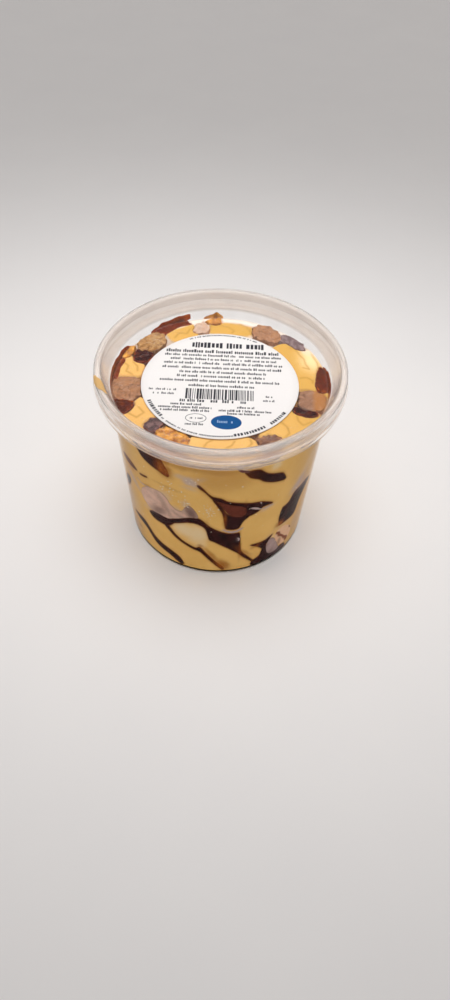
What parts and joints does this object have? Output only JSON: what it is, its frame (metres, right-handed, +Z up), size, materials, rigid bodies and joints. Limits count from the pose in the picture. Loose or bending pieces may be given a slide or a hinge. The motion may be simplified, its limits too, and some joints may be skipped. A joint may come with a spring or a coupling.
{
  "type": "gelato cup",
  "caption": "Clear round tapered plastic tub with a recessed press-on lid and a round paper label, full of caramel gelato with folds of chocolate sauce and brownie pieces.",
  "frame": {"origin": "on the tub's axis, in the plane of the ring that it stands on", "axes": "+Z up along the tub's axis, -Y towards the front, +X to the right seen from the front"},
  "size_m": [0.12, 0.12, 0.1053],
  "materials": {
    "clear_plastic": "clear moulded plastic, slightly frosted by cold on the inside",
    "label_paper": "smooth white adhesive paper with fine grey print and one blue mark",
    "gelato": "soft dense caramel gelato, matt, smeared flat against the plastic",
    "brownie": "crumbly brown cake, frosted to mauve where it touches the plastic",
    "nut": "tan nut pieces with brown skin",
    "caramel": "glossy amber caramel pieces",
    "chocolate_sauce": "glossy near-black chocolate sauce with dark red thin edges"
  },
  "bodies": {
    "root": {"brownie_back_low": "brownie", "brownie_back_upper": "brownie", "brownie_frosted": "brownie", "brownie_lens": "brownie", "brownie_low_right": "brownie", "brownie_side_left": "brownie", "brownie_top_1": "brownie", "brownie_top_2": "brownie", "brownie_top_3": "brownie", "brownie_top_4": "brownie", "brownie_top_5": "brownie", "brownie_top_6": "brownie", "caramel_top_1": "caramel", "caramel_top_2": "caramel", "caramel_top_3": "caramel", "gelato": "gelato", "label": "label_paper", "lid": "clear_plastic", "nut_back": "nut", "nut_low_right": "nut", "sauce_back_left": "chocolate_sauce", "sauce_back_low": "chocolate_sauce", "sauce_back_middle": "chocolate_sauce", "sauce_back_right": "chocolate_sauce", "sauce_back_upper": "chocolate_sauce", "sauce_left_line": "chocolate_sauce", "sauce_left_patch": "chocolate_sauce", "sauce_low_left": "chocolate_sauce", "sauce_low_right": "chocolate_sauce", "sauce_middle": "chocolate_sauce", "sauce_right": "chocolate_sauce", "sauce_round_lens": "chocolate_sauce", "sauce_side_left": "chocolate_sauce", "sauce_top_1": "chocolate_sauce", "sauce_top_2": "chocolate_sauce", "sauce_top_3": "chocolate_sauce", "sauce_top_4": "chocolate_sauce", "sauce_top_5": "chocolate_sauce", "sauce_top_6": "chocolate_sauce", "sauce_top_7": "chocolate_sauce", "sauce_top_8": "chocolate_sauce", "sauce_upper_left": "chocolate_sauce", "sauce_upper_right": "chocolate_sauce", "tub": "clear_plastic"}
  },
  "joints": []
}
